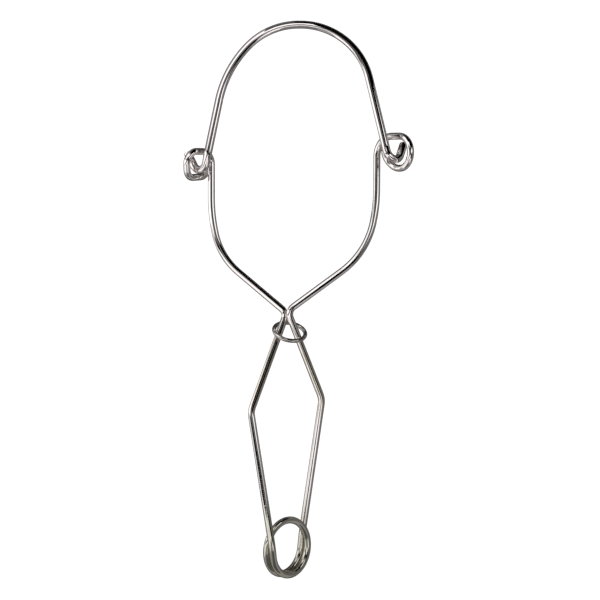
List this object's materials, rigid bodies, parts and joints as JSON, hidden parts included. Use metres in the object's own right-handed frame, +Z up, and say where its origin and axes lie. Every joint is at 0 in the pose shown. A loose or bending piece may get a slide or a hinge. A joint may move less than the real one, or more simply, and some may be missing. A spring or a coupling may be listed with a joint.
{
  "type": "wire clothespin",
  "caption": "Wire clothespin: two long arms grow out of a spring coil, a small ring closes them, and a wire bail hooked in their eyes hangs the pin from a rod or line.",
  "frame": {"origin": "middle of the bail's crown, on the wire's centre line, where the pin hangs", "axes": "+Z up towards the crown, +X to the right and +Y to the back as seen from the front"},
  "size_m": [0.0645, 0.0165, 0.1562],
  "materials": {
    "spring_wire": "polished, with fine drawing lines",
    "bail_wire": "polished, with fine drawing lines",
    "ring_wire": "polished"
  },
  "bodies": {
    "bail": {"bail": "bail_wire"},
    "left_arm": {"left_arm": "spring_wire", "spring_coil": "spring_wire"},
    "right_arm": {"right_arm": "spring_wire"},
    "closing_ring": {"closing_ring": "ring_wire"}
  },
  "joints": [
    {"name": "spring_swing", "type": "hinge", "parent": "bail", "child": "left_arm", "pos_m": [-0.00125, -0.00012, -0.03648], "axis": [0.9991, -0.0092, 0.0414], "range_deg": [-30, 22]},
    {"name": "arm_squeeze", "type": "hinge", "parent": "left_arm", "child": "right_arm", "pos_m": [-0.0041, 0, -0.1463], "axis": [0, 1, 0], "range_deg": [-0.4, 0], "stiffness_Nm_per_rad": 1.05, "deforming": ["spring_coil"]},
    {"name": "ring_slide", "type": "slide", "parent": "left_arm", "child": "closing_ring", "axis": [0, 0, 1], "range_m": [0, 0.0033]}
  ]
}
